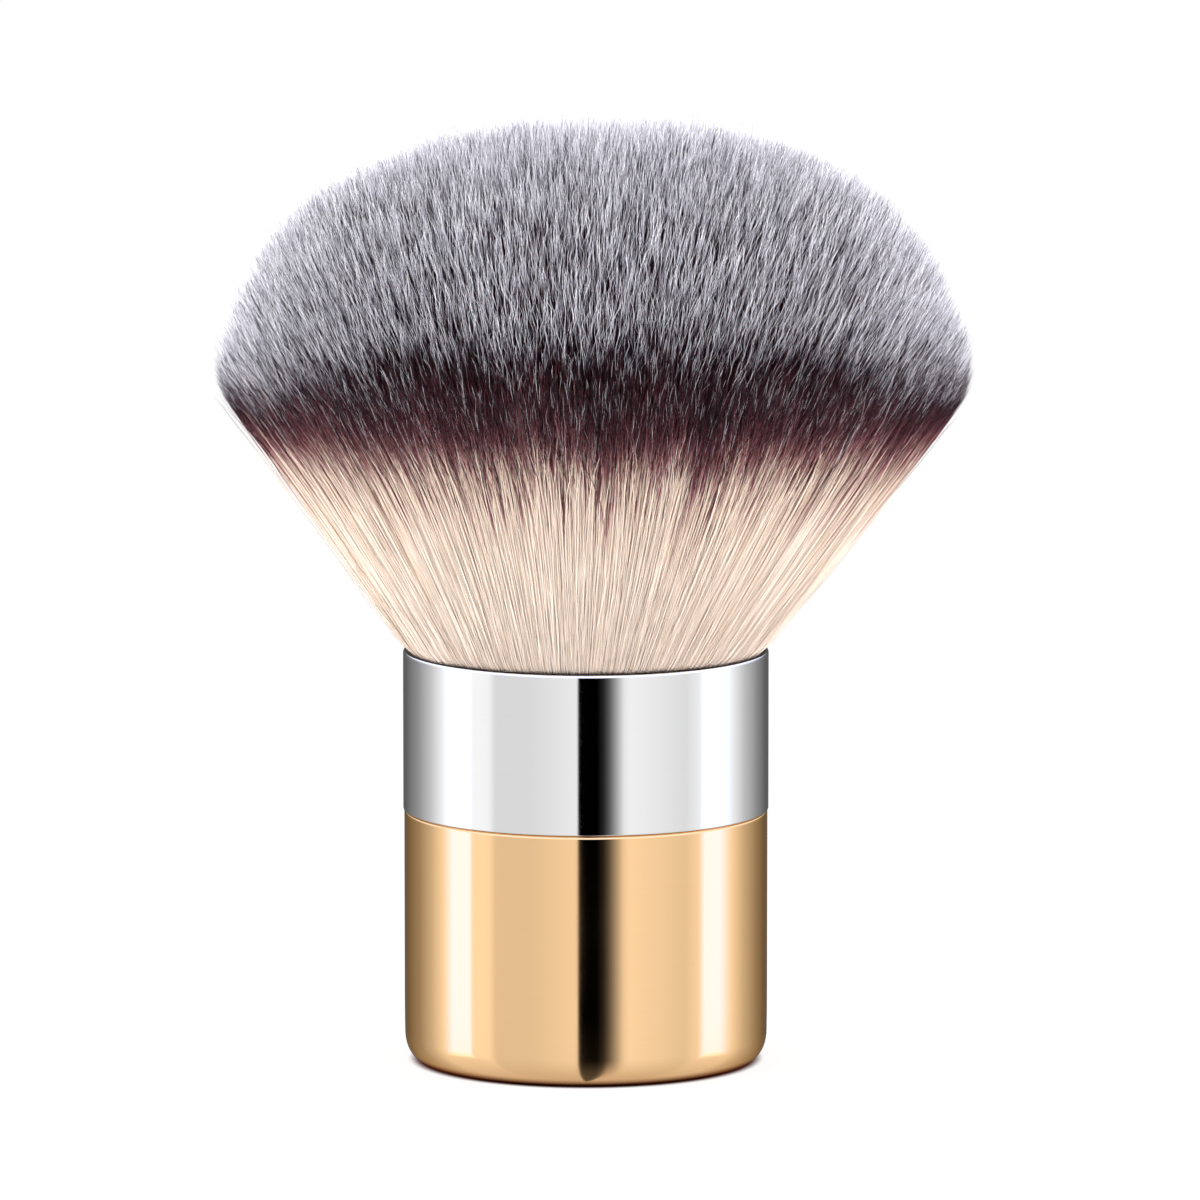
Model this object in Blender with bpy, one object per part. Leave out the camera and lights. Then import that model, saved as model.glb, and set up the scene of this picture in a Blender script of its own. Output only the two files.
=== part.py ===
"""Short domed makeup brush: a gold cup and a silver ferrule on a moulded core, with a dense flared tuft."""

import math

import bmesh
import bpy
from mathutils import Matrix, Vector

MM = 0.001

# The whole handle, outside
HANDLE_DIAMETER = 36.0 * MM

# Base cup, drawn from aluminium sheet
CUP_HEIGHT = 25.1 * MM
CUP_WALL = 0.8 * MM
CUP_FLOOR = 1.0 * MM
CUP_CORNER_RADIUS = 1.8 * MM
CUP_INNER_RADIUS = 1.0 * MM
CUP_RIM_BEVEL = 0.3 * MM

# Ferrule, a polished aluminium tube that stands on the seam above the cup, a little proud of it
FERRULE_STEP = 0.1 * MM
FERRULE_HEIGHT = 15.7 * MM
FERRULE_WALL = 0.6 * MM
FERRULE_EDGE_BEVEL = 0.12 * MM

# Running fit left between two pieces that touch
SEAT_GAP = 0.3 * MM

# Foam pad on the cup's floor
PAD_THICKNESS = 0.8 * MM

# Steel slug that makes the handle stand firmly
WEIGHT_HEIGHT = 8.0 * MM
WEIGHT_CHAMFER = 0.6 * MM

# Moulded core that joins the cup to the ferrule
CORE_WALL = 1.6 * MM
CORE_LEDGE = 1.2 * MM
CORE_RIB_HEIGHT = 0.8 * MM
CORE_RIB_WIDTH = 1.4 * MM
CORE_RIB_SINK = 0.5 * MM
CORE_RIB_COUNT = 8
CORE_COLLAR_HEIGHT = 2.0 * MM
CORE_TOP_THICKNESS = 1.6 * MM
CORE_WEB_THICKNESS = 1.2 * MM
CORE_WEB_COUNT = 8

# Cup inside the ferrule that the bristle roots are potted in
TUFT_CUP_HEIGHT = 6.0 * MM
TUFT_CUP_WALL = 0.7 * MM
TUFT_CUP_FLOOR = 0.9 * MM
TUFT_CUP_BEVEL = 0.2 * MM

# Resin that holds the roots, in a core and two rings round it
RESIN_THICKNESS = 4.0 * MM
RESIN_ROOT_DEPTH = 1.2 * MM

# Thread wound round the bundle above the resin
BINDING_THREAD = 0.7 * MM
BINDING_TURNS = 2

# Bristle head: the dome is the upper part of an ellipsoid
HEAD_DIAMETER = 74.5 * MM
DOME_HEIGHT = 24.8 * MM
DOME_CENTRE_ABOVE_RIM = 28.4 * MM
SHOULDER_DROP = 2.7 * MM
LIP_CLEARANCE = 0.25 * MM
TUFT_LEAN_SHARE = 0.032

# Strands, each one standing for a lock of many fine filaments
STRAND_RINGS = 10
STRANDS_PER_RING = 6
STRAND_SIDES = 3
STRAND_DEPTH_SHARE = 0.72
STRAND_GAP = 0.3 * MM
CREAM_ENDS_BEFORE_TIP = 15.5 * MM
WHITE_STARTS_BEFORE_TIP = 3.4 * MM
LENGTH_VARIATION = 0.5 * MM
TUFT_RING_SPLITS = (("bristles_core", 0, 4), ("bristles_middle", 5, 7), ("bristles_outer", 8, 10))

SHELL_SEGMENTS = 64
INNER_SEGMENTS = 36
GOLDEN_ANGLE = math.pi * (3 - math.sqrt(5))
MERGE_DISTANCE = 0.001 * MM

# Material slots of the bristle pieces
RESIN_SLOT, CREAM_SLOT, WINE_SLOT, WHITE_SLOT = range(4)

# Radii and heights that follow from the sizes above
CUP_RADIUS = HANDLE_DIAMETER / 2
CUP_BORE_RADIUS = CUP_RADIUS - CUP_WALL
FERRULE_RADIUS = CUP_RADIUS + FERRULE_STEP
FERRULE_BORE_RADIUS = FERRULE_RADIUS - FERRULE_WALL
LIP_RADIUS = FERRULE_WALL / 2
PAD_RADIUS = CUP_BORE_RADIUS - CUP_INNER_RADIUS - SEAT_GAP
CORE_RIB_RADIUS = CUP_BORE_RADIUS - SEAT_GAP
CORE_RADIUS = CORE_RIB_RADIUS - CORE_RIB_HEIGHT
CORE_COLLAR_RADIUS = FERRULE_BORE_RADIUS - SEAT_GAP
WEIGHT_RADIUS = CORE_RADIUS - CORE_WALL - SEAT_GAP
TUFT_CUP_RADIUS = FERRULE_BORE_RADIUS - SEAT_GAP
TUFT_CUP_BORE_RADIUS = TUFT_CUP_RADIUS - TUFT_CUP_WALL
BUNDLE_RADIUS = TUFT_CUP_BORE_RADIUS - SEAT_GAP

PAD_Z = CUP_FLOOR + SEAT_GAP
CORE_Z = PAD_Z + PAD_THICKNESS + SEAT_GAP
SEAM_Z = CUP_HEIGHT + SEAT_GAP
CORE_HEIGHT = SEAM_Z + CORE_COLLAR_HEIGHT - CORE_Z
TUFT_CUP_Z = SEAM_Z + CORE_COLLAR_HEIGHT + SEAT_GAP
RESIN_Z = TUFT_CUP_Z + TUFT_CUP_FLOOR + SEAT_GAP
BINDING_Z = TUFT_CUP_Z + TUFT_CUP_HEIGHT + SEAT_GAP
ROOT_Z = RESIN_Z + RESIN_THICKNESS - RESIN_ROOT_DEPTH
RIM_Z = SEAM_Z + FERRULE_HEIGHT
DOME_CENTRE_Z = RIM_Z + DOME_CENTRE_ABOVE_RIM
SHOULDER_Z = DOME_CENTRE_Z - SHOULDER_DROP


def clear_scene():
    for old in list(bpy.data.objects):
        bpy.data.objects.remove(old)


def material(name, colour, roughness, metallic=0.0):
    made = bpy.data.materials.new(name)
    made.use_nodes = True
    shader = made.node_tree.nodes["Principled BSDF"]
    shader.inputs["Base Color"].default_value = (*colour, 1.0)
    shader.inputs["Roughness"].default_value = roughness
    shader.inputs["Metallic"].default_value = metallic
    made.diffuse_color = (*colour, 1.0)
    return made


def arc(centre_r, centre_z, radius, start_degrees, end_degrees, steps):
    """Points of a circular arc in the (radius, height) plane, with angles from the outward direction."""
    points = []
    for i in range(steps + 1):
        angle = math.radians(start_degrees + (end_degrees - start_degrees) * i / steps)
        points.append((centre_r + radius * math.cos(angle), centre_z + radius * math.sin(angle)))
    return points


def add_object(name, bm, materials, z=0.0, smooth=True):
    mesh = bpy.data.meshes.new(name)
    bm.to_mesh(mesh)
    bm.free()
    for item in materials:
        mesh.materials.append(item)
    if smooth:
        mesh.shade_smooth()
        mesh.set_sharp_from_angle(angle=math.radians(35))
    obj = bpy.data.objects.new(name, mesh)
    obj.location.z = z
    bpy.context.scene.collection.objects.link(obj)
    return obj


def turned_mesh(profile, segments):
    """Spins a closed (radius, height) outline about Z. A side that lies on the axis is left out."""
    bm = bmesh.new()
    verts = [bm.verts.new((radius, 0.0, height)) for radius, height in profile]
    edges = []
    for start, end in zip(verts, verts[1:] + verts[:1]):
        if start.co.x or end.co.x:
            edges.append(bm.edges.new((start, end)))
    bmesh.ops.spin(
        bm, geom=verts + edges, axis=(0, 0, 1), cent=(0, 0, 0),
        angle=math.tau, steps=segments, use_merge=True,
    )
    bmesh.ops.remove_doubles(bm, verts=bm.verts, dist=MERGE_DISTANCE)
    bmesh.ops.recalc_face_normals(bm, faces=bm.faces)
    return bm


def turned(name, profile, segments, surface, z=0.0):
    return add_object(name, turned_mesh(profile, segments), [surface], z)


def fuse(obj, tool):
    """Joins a helper object to a piece. The helper itself stays out of the render."""
    tool.hide_render = True
    tool.display_type = "WIRE"
    modifier = obj.modifiers.new("fuse", "BOOLEAN")
    modifier.operation = "UNION"
    modifier.solver = "EXACT"
    modifier.object = tool


def build_base_cup(surface):
    """Deep-drawn cup with a rounded foot and a small bevel where it meets the ferrule."""
    outer_corner = arc(
        CUP_RADIUS - CUP_CORNER_RADIUS, CUP_CORNER_RADIUS, CUP_CORNER_RADIUS, -90, 0, 5
    )
    inner_corner = arc(
        CUP_BORE_RADIUS - CUP_INNER_RADIUS, CUP_FLOOR + CUP_INNER_RADIUS, CUP_INNER_RADIUS, 0, -90, 2
    )
    profile = [(0.0, 0.0)]
    profile += outer_corner
    profile += [(CUP_RADIUS, CUP_HEIGHT - CUP_RIM_BEVEL), (CUP_RADIUS - CUP_RIM_BEVEL, CUP_HEIGHT)]
    profile += [(CUP_BORE_RADIUS, CUP_HEIGHT)]
    profile += inner_corner
    profile += [(0.0, CUP_FLOOR)]
    return turned("base_cup", profile, SHELL_SEGMENTS, surface)


def build_floor_pad(surface):
    profile = [(0.0, 0.0), (PAD_RADIUS, 0.0), (PAD_RADIUS, PAD_THICKNESS), (0.0, PAD_THICKNESS)]
    return turned("floor_pad", profile, INNER_SEGMENTS, surface, PAD_Z)


def build_base_weight(surface):
    """Steel slug, chamfered at both ends, that drops into the core from below."""
    profile = [
        (0.0, 0.0),
        (WEIGHT_RADIUS - WEIGHT_CHAMFER, 0.0),
        (WEIGHT_RADIUS, WEIGHT_CHAMFER),
        (WEIGHT_RADIUS, WEIGHT_HEIGHT - WEIGHT_CHAMFER),
        (WEIGHT_RADIUS - WEIGHT_CHAMFER, WEIGHT_HEIGHT),
        (0.0, WEIGHT_HEIGHT),
    ]
    return turned("base_weight", profile, INNER_SEGMENTS, surface, CORE_Z)


def core_ribs():
    """Upright ribs that centre the core in the cup, clear of its rounded corner and of the seam."""
    bm = bmesh.new()
    foot = CORE_RIB_HEIGHT
    head = SEAM_Z - CORE_Z - CORE_RIB_HEIGHT
    depth = CORE_RIB_HEIGHT + CORE_RIB_SINK
    reach = math.sqrt(CORE_RIB_RADIUS**2 - (CORE_RIB_WIDTH / 2) ** 2)
    for i in range(CORE_RIB_COUNT):
        rib = bmesh.ops.create_cube(bm, size=1.0)["verts"]
        turn = Matrix.Rotation(math.tau * i / CORE_RIB_COUNT, 3, "Z")
        bmesh.ops.scale(bm, verts=rib, vec=(depth, CORE_RIB_WIDTH, head - foot))
        bmesh.ops.translate(bm, verts=rib, vec=(reach - depth / 2, 0.0, (head + foot) / 2))
        bmesh.ops.rotate(bm, verts=rib, cent=(0, 0, 0), matrix=turn)
    return bm


def core_webs(reach, foot, head):
    """Star of upright webs that stiffens the barrel above the slug."""
    half = CORE_WEB_THICKNESS / 2
    notch = half / math.sin(math.pi / CORE_WEB_COUNT)
    outline = []
    for i in range(CORE_WEB_COUNT):
        turn = Matrix.Rotation(math.tau * i / CORE_WEB_COUNT, 3, "Z")
        next_notch = Matrix.Rotation(math.tau * (i + 0.5) / CORE_WEB_COUNT, 3, "Z")
        outline += [turn @ Vector((reach, -half, foot)), turn @ Vector((reach, half, foot))]
        outline.append(next_notch @ Vector((notch, 0.0, foot)))
    bm = bmesh.new()
    base = bm.faces.new([bm.verts.new(point) for point in outline])
    raised = bmesh.ops.extrude_face_region(bm, geom=[base])["geom"]
    raised_verts = [item for item in raised if isinstance(item, bmesh.types.BMVert)]
    bmesh.ops.translate(bm, verts=raised_verts, vec=(0.0, 0.0, head - foot))
    bmesh.ops.recalc_face_normals(bm, faces=bm.faces)
    return bm


def build_handle_core(surface):
    """Moulded barrel. The slug sits in its stepped bore, and its collar centres the ferrule."""
    slug_bore = WEIGHT_RADIUS + SEAT_GAP
    upper_bore = slug_bore - CORE_LEDGE
    ledge_z = WEIGHT_HEIGHT + SEAT_GAP
    collar_z = CORE_HEIGHT - CORE_COLLAR_HEIGHT
    ceiling_z = CORE_HEIGHT - CORE_TOP_THICKNESS
    profile = [
        (slug_bore, 0.0),
        (CORE_RADIUS, 0.0),
        (CORE_RADIUS, collar_z),
        (CORE_COLLAR_RADIUS, collar_z),
        (CORE_COLLAR_RADIUS, CORE_HEIGHT),
        (0.0, CORE_HEIGHT),
        (0.0, ceiling_z),
        (upper_bore, ceiling_z),
        (upper_bore, ledge_z),
        (slug_bore, ledge_z),
    ]
    core = turned("handle_core", profile, INNER_SEGMENTS, surface, CORE_Z)
    ribs = add_object("core_ribs_tool", core_ribs(), [surface], CORE_Z, smooth=False)
    fuse(core, ribs)
    webs_mesh = core_webs(upper_bore + CORE_RIB_SINK, ledge_z + CORE_RIB_SINK, ceiling_z + CORE_RIB_SINK)
    webs = add_object("core_webs_tool", webs_mesh, [surface], CORE_Z, smooth=False)
    fuse(core, webs)
    return core


def build_ferrule(surface):
    """Open tube with a full round lip at the mouth and a bevelled lower edge."""
    lip = arc(
        FERRULE_BORE_RADIUS + LIP_RADIUS, FERRULE_HEIGHT - LIP_RADIUS, LIP_RADIUS, 0, 180, 5
    )
    profile = [
        (FERRULE_BORE_RADIUS, 0.0),
        (FERRULE_RADIUS - FERRULE_EDGE_BEVEL, 0.0),
        (FERRULE_RADIUS, FERRULE_EDGE_BEVEL),
    ]
    profile += lip
    return turned("ferrule", profile, SHELL_SEGMENTS, surface, SEAM_Z)


def build_tuft_cup(surface):
    profile = [
        (0.0, 0.0),
        (TUFT_CUP_RADIUS - TUFT_CUP_BEVEL, 0.0),
        (TUFT_CUP_RADIUS, TUFT_CUP_BEVEL),
        (TUFT_CUP_RADIUS, TUFT_CUP_HEIGHT),
        (TUFT_CUP_BORE_RADIUS, TUFT_CUP_HEIGHT),
        (TUFT_CUP_BORE_RADIUS, TUFT_CUP_FLOOR),
        (0.0, TUFT_CUP_FLOOR),
    ]
    return turned("tuft_cup", profile, INNER_SEGMENTS, surface, TUFT_CUP_Z)


def build_tuft_binding(surface):
    """Turns of thread that lie on each other, closed into one ring round the bundle."""
    inner = TUFT_CUP_BORE_RADIUS
    profile = [(inner, 0.0)]
    for i in range(BINDING_TURNS):
        middle = BINDING_THREAD * (i + 0.5)
        bulge = inner + BINDING_THREAD / 2
        profile += arc(bulge, middle, BINDING_THREAD / 2, -60, 60, 2)
    profile += [(inner, BINDING_THREAD * BINDING_TURNS)]
    return turned("tuft_binding", profile, INNER_SEGMENTS, surface, BINDING_Z)


def shoulder_radius():
    return HEAD_DIAMETER / 2 * math.sqrt(1 - (SHOULDER_DROP / DOME_HEIGHT) ** 2)


def flare():
    """Spread of the outermost bristles per unit of height, and the height where they start to spread.

    Their outer side is the line from the shoulder of the dome that just clears the ferrule's round lip.
    """
    across = shoulder_radius() - (FERRULE_BORE_RADIUS + LIP_RADIUS)
    down = SHOULDER_Z - (RIM_Z - LIP_RADIUS)
    tilt = math.atan2(across, down) + math.asin((LIP_RADIUS + LIP_CLEARANCE) / math.hypot(across, down))
    slope = math.tan(tilt)
    return slope, SHOULDER_Z - (shoulder_radius() - BUNDLE_RADIUS) / slope


FLARE_SLOPE, THROAT_Z = flare()


def bundle_radius_at(z):
    """Outer radius of the whole bundle at a height."""
    return BUNDLE_RADIUS + max(0.0, z - THROAT_Z) * FLARE_SLOPE


def dome_radius_at(z):
    rise = (z - DOME_CENTRE_Z) / DOME_HEIGHT
    return HEAD_DIAMETER / 2 * math.sqrt(max(0.0, 1 - rise * rise))


def tip_height(place_share):
    """Height where a strand meets the dome, for its place in the bundle from 0 on the axis to 1."""
    low, high = SHOULDER_Z, DOME_CENTRE_Z + DOME_HEIGHT
    for _ in range(40):
        middle = (low + high) / 2
        if dome_radius_at(middle) > place_share * bundle_radius_at(middle):
            low = middle
        else:
            high = middle
    return low


def wedge_corners(ring, position, spacing):
    """Corners of one strand's three-sided section, as (radius, angle) in the throat.

    Neighbours round a ring point outward and inward in turn, so that they interlock with an even gap.
    """
    near = (ring - STRAND_DEPTH_SHARE / 2) * spacing
    far = (ring + STRAND_DEPTH_SHARE / 2) * spacing
    if ring == 0:
        return [(far, math.tau * side / STRAND_SIDES) for side in range(STRAND_SIDES)]
    pitch = math.tau / (STRANDS_PER_RING * ring)
    middle = pitch * position + GOLDEN_ANGLE * ring
    reach = pitch - STRAND_GAP / (ring * spacing)
    if position % 2:
        return [(far, middle - reach), (far, middle + reach), (near, middle)]
    return [(near, middle - reach), (far, middle), (near, middle + reach)]


def strand_bands(place_share, length_share, shows_side):
    """Height and colour slot where each band of a strand starts, root first, and the height of its tip.

    Only the outer strands show the long cream band on their sides.
    """
    slant = math.hypot(1.0, place_share * FLARE_SLOPE)
    tip_z = tip_height(place_share) - LENGTH_VARIATION * length_share
    bands = [(ROOT_Z, CREAM_SLOT)]
    if shows_side:
        bands.append((THROAT_Z, CREAM_SLOT))
        bands.append((tip_z - CREAM_ENDS_BEFORE_TIP / slant, WINE_SLOT))
    else:
        bands.append((THROAT_Z, WINE_SLOT))
    bands.append((tip_z - WHITE_STARTS_BEFORE_TIP / slant, WHITE_SLOT))
    return bands, tip_z


def spread_point(x, y, z):
    """Where a point of the throat's section lies at height z, as the tuft fans out and leans a little."""
    spread = bundle_radius_at(z) / BUNDLE_RADIUS
    lean = TUFT_LEAN_SHARE * max(0.0, z - THROAT_Z)
    return (x * spread + lean, y * spread, z - RESIN_Z)


def add_strand(bm, ring, position, spacing, shows_side):
    """One strand from its root in the resin to its tip on the dome."""
    corners = [(r * math.cos(a), r * math.sin(a)) for r, a in wedge_corners(ring, position, spacing)]
    centre = [sum(axis) / STRAND_SIDES for axis in zip(*corners)]
    length_share = (ring + position) * GOLDEN_ANGLE % 1.0
    bands, tip_z = strand_bands(math.hypot(*centre) / BUNDLE_RADIUS, length_share, shows_side)
    levels = [[bm.verts.new(spread_point(x, y, z)) for x, y in corners] for z, _ in bands]
    tip = bm.verts.new(spread_point(*centre, tip_z))
    bm.faces.new(levels[0][::-1])
    for (low, high), (_, slot) in zip(zip(levels, levels[1:]), bands):
        for side in range(STRAND_SIDES):
            after = (side + 1) % STRAND_SIDES
            bm.faces.new((low[side], low[after], high[after], high[side])).material_index = slot
    for side in range(STRAND_SIDES):
        after = (side + 1) % STRAND_SIDES
        bm.faces.new((levels[-1][side], levels[-1][after], tip)).material_index = WHITE_SLOT


def build_bristles(name, first_ring, last_ring, surfaces):
    """The strands of a few neighbouring rings, fused to the ring of resin that their roots are set in."""
    spacing = BUNDLE_RADIUS / (STRAND_RINGS + STRAND_DEPTH_SHARE / 2)
    is_outer = last_ring == STRAND_RINGS
    outer = BUNDLE_RADIUS if is_outer else (last_ring + 0.5) * spacing - SEAT_GAP / 2
    inner = (first_ring - 0.5) * spacing + SEAT_GAP / 2 if first_ring else 0.0
    profile = [(inner, 0.0), (outer, 0.0), (outer, RESIN_THICKNESS), (inner, RESIN_THICKNESS)]
    resin = add_object(name, turned_mesh(profile, INNER_SEGMENTS), surfaces, RESIN_Z)
    bm = bmesh.new()
    for ring in range(first_ring, last_ring + 1):
        for position in range(max(1, STRANDS_PER_RING * ring)):
            add_strand(bm, ring, position, spacing, is_outer)
    strands = add_object(name + "_strands_tool", bm, surfaces, RESIN_Z, smooth=False)
    fuse(resin, strands)
    return resin


def main():
    clear_scene()
    gold = material("gold_anodised_aluminium", (0.83, 0.515, 0.242), 0.08, 1.0)
    silver = material("polished_aluminium", (0.72, 0.72, 0.725), 0.06, 1.0)
    steel = material("zinc_plated_steel", (0.55, 0.56, 0.58), 0.35, 1.0)
    foam = material("black_foam", (0.03, 0.03, 0.03), 0.95)
    moulded = material("white_moulded_plastic", (0.78, 0.77, 0.74), 0.45)
    thread = material("cream_thread", (0.72, 0.65, 0.52), 0.8)
    resin = material("clear_amber_resin", (0.62, 0.47, 0.25), 0.2)
    cream = material("cream_filament", (0.82, 0.68, 0.54), 0.6)
    wine = material("wine_black_filament", (0.045, 0.018, 0.022), 0.55)
    white = material("white_filament_tip", (0.66, 0.65, 0.69), 0.6)

    build_base_cup(gold)
    build_floor_pad(foam)
    build_base_weight(steel)
    build_handle_core(moulded)
    build_ferrule(silver)
    build_tuft_cup(moulded)
    build_tuft_binding(thread)
    for name, first_ring, last_ring in TUFT_RING_SPLITS:
        build_bristles(name, first_ring, last_ring, [resin, cream, wine, white])


main()
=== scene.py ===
import math

import bpy
import numpy as np
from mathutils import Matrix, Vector, kdtree


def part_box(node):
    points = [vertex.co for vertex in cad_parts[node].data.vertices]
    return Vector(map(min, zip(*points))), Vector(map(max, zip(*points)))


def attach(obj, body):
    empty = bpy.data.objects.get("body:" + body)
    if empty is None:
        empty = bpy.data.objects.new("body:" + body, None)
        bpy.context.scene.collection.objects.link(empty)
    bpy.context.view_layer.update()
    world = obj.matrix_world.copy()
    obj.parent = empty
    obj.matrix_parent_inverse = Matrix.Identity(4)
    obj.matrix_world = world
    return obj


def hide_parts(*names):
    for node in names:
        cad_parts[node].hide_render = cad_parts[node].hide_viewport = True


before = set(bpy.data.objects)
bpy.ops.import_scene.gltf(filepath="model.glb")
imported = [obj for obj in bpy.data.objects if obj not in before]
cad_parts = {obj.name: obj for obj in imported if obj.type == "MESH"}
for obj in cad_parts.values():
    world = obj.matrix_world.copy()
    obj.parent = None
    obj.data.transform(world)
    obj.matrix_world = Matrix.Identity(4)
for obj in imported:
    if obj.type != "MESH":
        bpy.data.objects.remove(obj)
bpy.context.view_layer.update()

bpy.context.scene.view_settings.view_transform = "Standard"
mm = 0.001
body = "root"
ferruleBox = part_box("ferrule")
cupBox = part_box("base_cup")
print("frame loaded")


def srgb(hexColour):
    # sRGB hex to linear, which is what the shader sockets take
    channels = [int(hexColour[i:i + 2], 16) / 255 for i in (1, 3, 5)]
    linear = [c / 12.92 if c <= 0.04045 else ((c + 0.055) / 1.055) ** 2.4 for c in channels]
    return (*linear, 1.0)


def addNode(tree, kind, settings=None, **links):
    # one node, its settings as attributes or socket values, its inputs linked by name, or i and their number
    node = tree.nodes.new(kind)
    for key, value in (settings or {}).items():
        if isinstance(key, int) or key in node.inputs:
            node.inputs[key].default_value = value
        else:
            setattr(node, key, value)
    for key, source in links.items():
        tree.links.new(source, node.inputs[int(key[1:]) if key[1:].isdigit() else key])
    return node


def newMaterial(name):
    made = bpy.data.materials.new(name)
    made.use_nodes = True
    tree = made.node_tree
    return made, tree, tree.nodes["Principled BSDF"]


def addRamp(tree, source, stops):
    # a value's colour, from (place, colour) stops in rising order
    ramp = addNode(tree, "ShaderNodeValToRGB", None, Fac=source)
    elements = ramp.color_ramp.elements
    while len(elements) < len(stops):
        elements.new(0.5)
    for element, (place, colour) in zip(elements, stops):
        element.position = place
        element.color = srgb(colour) if isinstance(colour, str) else colour
    return ramp.outputs["Color"]


def mixColours(tree, share, low, high):
    # a colour mix has its inputs and its output at these numbers; a plain colour or a socket goes in
    blend = addNode(tree, "ShaderNodeMix", {"data_type": "RGBA"}, Factor=share)
    for number, colour in ((6, low), (7, high)):
        if isinstance(colour, tuple):
            blend.inputs[number].default_value = colour
        else:
            tree.links.new(colour, blend.inputs[number])
    return blend.outputs[2]


def addBump(tree, shader, height, strength, depth):
    bump = addNode(tree, "ShaderNodeBump", {"Strength": strength, "Distance": depth}, Height=height)
    tree.links.new(bump.outputs[0], shader.inputs["Normal"])


def placeObject(name, mesh):
    obj = bpy.data.objects.new(name, mesh)
    bpy.context.scene.collection.objects.link(obj)
    return obj


# Camera: a long lens a little above the brush, level with the picture's upright
camera = {"distance": 1.24, "elevation": 8.1, "lens": 376.0, "sensor": 36.0, "aim": (0.0014, 0.0, 0.0459)}


def placeCamera(spec):
    data = bpy.data.cameras.new("photoCamera")
    data.lens = spec["lens"]
    data.sensor_width = spec["sensor"]
    obj = placeObject("photoCamera", data)
    rise = math.radians(spec["elevation"])
    away = Vector((0.0, -math.cos(rise), math.sin(rise))) * spec["distance"]
    obj.location = Vector(spec["aim"]) + away
    obj.rotation_euler = (-away).to_track_quat("-Z", "Y").to_euler()
    bpy.context.scene.camera = obj


placeCamera(camera)
print("camera placed")


# Studio: white surroundings, soft boxes, and what the polished metal mirrors
studio = {
    # the white backdrop behind the brush throws more light on it than the dim room in front
    "frontFill": 0.37, "backFill": 1.12, "fillFrom": -0.4, "fillTo": 0.7,
    # the walls as the metal sees them: degrees round from the camera to its right, and brightness
    "walls": [
        (-180, 0.13), (-157, 0.16), (-132, 0.34), (-116, 0.62), (-103, 1.0), (-94, 1.5), (-79, 1.5),
        (-77, 1.08), (-64, 1.04), (-59, 0.79), (-36, 0.79), (-5.2, 0.95), (-4.5, 0.0), (7.6, 0.0),
        (11.3, 0.02), (13.9, 0.08), (16.4, 0.20), (20.3, 0.50), (24.1, 0.90), (28, 1.01), (50, 0.90),
        (66, 0.82), (77, 0.98), (81, 1.5), (95, 1.5), (106, 1.0), (120, 0.6), (138, 0.32), (155, 0.16),
        (180, 0.12),
    ],
    # a ramp's colours are kept under 1, so the levels are divided by this and scaled up after it
    "wallScale": 4.0,
    # the two bright strips are cooler lamps: their red and blue as shares of the level
    "stripLevel": 1.3, "stripRed": 0.88, "stripBlue": 1.65,
    # from here on, a From or a Full is the sine of an angle above the horizontal
    "floorColour": "#D3CBC4", "floorFrom": -0.174, "floorFull": -0.95,
    # the strip lamps end a little above the floor: the most a wall can be at floorFrom, and under footFull
    "lampMost": 2.6, "footMost": 1.0, "footFull": -0.33,
    # the black screen stands on the floor, and its shade runs on over it towards the brush
    "floorShade": 0.14, "shadingLevel": 0.12,
    "skyColour": (1.25, 1.32, 1.6, 1.0), "skyFrom": 0.03, "skyFull": 0.32,
}


def wallLook(tree, spec, axes):
    # the wall in the mirrored direction, from its bearing alone
    towards = addNode(tree, "ShaderNodeMath", {"operation": "MULTIPLY", 1: -1.0}, i0=axes["Y"])
    bearing = addNode(tree, "ShaderNodeMath", {"operation": "ARCTAN2"}, i0=axes["X"], i1=towards.outputs[0])
    share = addNode(
        tree, "ShaderNodeMapRange", {"From Min": -math.pi, "From Max": math.pi}, Value=bearing.outputs[0])
    scale, stops = spec["wallScale"], []
    for degrees, level in spec["walls"]:
        red, blue = (spec["stripRed"], spec["stripBlue"]) if level > spec["stripLevel"] else (1.0, 1.0)
        stops.append(((degrees + 180) / 360, (red * level / scale, level / scale, blue * level / scale, 1)))
    return addRamp(tree, share.outputs[0], stops)


def floorLook(tree, spec, axes, walls):
    # below the horizon the walls give way to the floor
    bright = addNode(
        tree, "ShaderNodeVectorMath", {"operation": "SCALE", "Scale": spec["wallScale"]}, i0=walls)
    most = addNode(
        tree, "ShaderNodeMapRange",
        {"From Min": spec["floorFrom"], "From Max": spec["footFull"],
         "To Min": spec["lampMost"], "To Max": spec["footMost"]}, Value=axes["Z"])
    room = addNode(
        tree, "ShaderNodeVectorMath", {"operation": "MINIMUM"}, i0=bright.outputs[0], i1=most.outputs[0])
    shade = addNode(
        tree, "ShaderNodeMapRange",
        {"From Max": spec["shadingLevel"] / spec["wallScale"], "To Min": spec["floorShade"]}, Value=walls)
    floor = addNode(
        tree, "ShaderNodeVectorMath", {"operation": "SCALE", 0: srgb(spec["floorColour"])[:3]},
        Scale=shade.outputs[0])
    down = addNode(
        tree, "ShaderNodeMapRange",
        {"From Min": spec["floorFrom"], "From Max": spec["floorFull"]}, Value=axes["Z"])
    return mixColours(tree, down.outputs[0], room.outputs[0], floor.outputs[0])


def mirroredLook(tree, spec, axes):
    # above the horizon the walls give way to the ceiling's bright panels
    below = floorLook(tree, spec, axes, wallLook(tree, spec, axes))
    up = addNode(
        tree, "ShaderNodeMapRange",
        {"interpolation_type": "SMOOTHSTEP", "From Min": spec["skyFrom"], "From Max": spec["skyFull"]},
        Value=axes["Z"])
    return mixColours(tree, up.outputs[0], below, spec["skyColour"])


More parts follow.
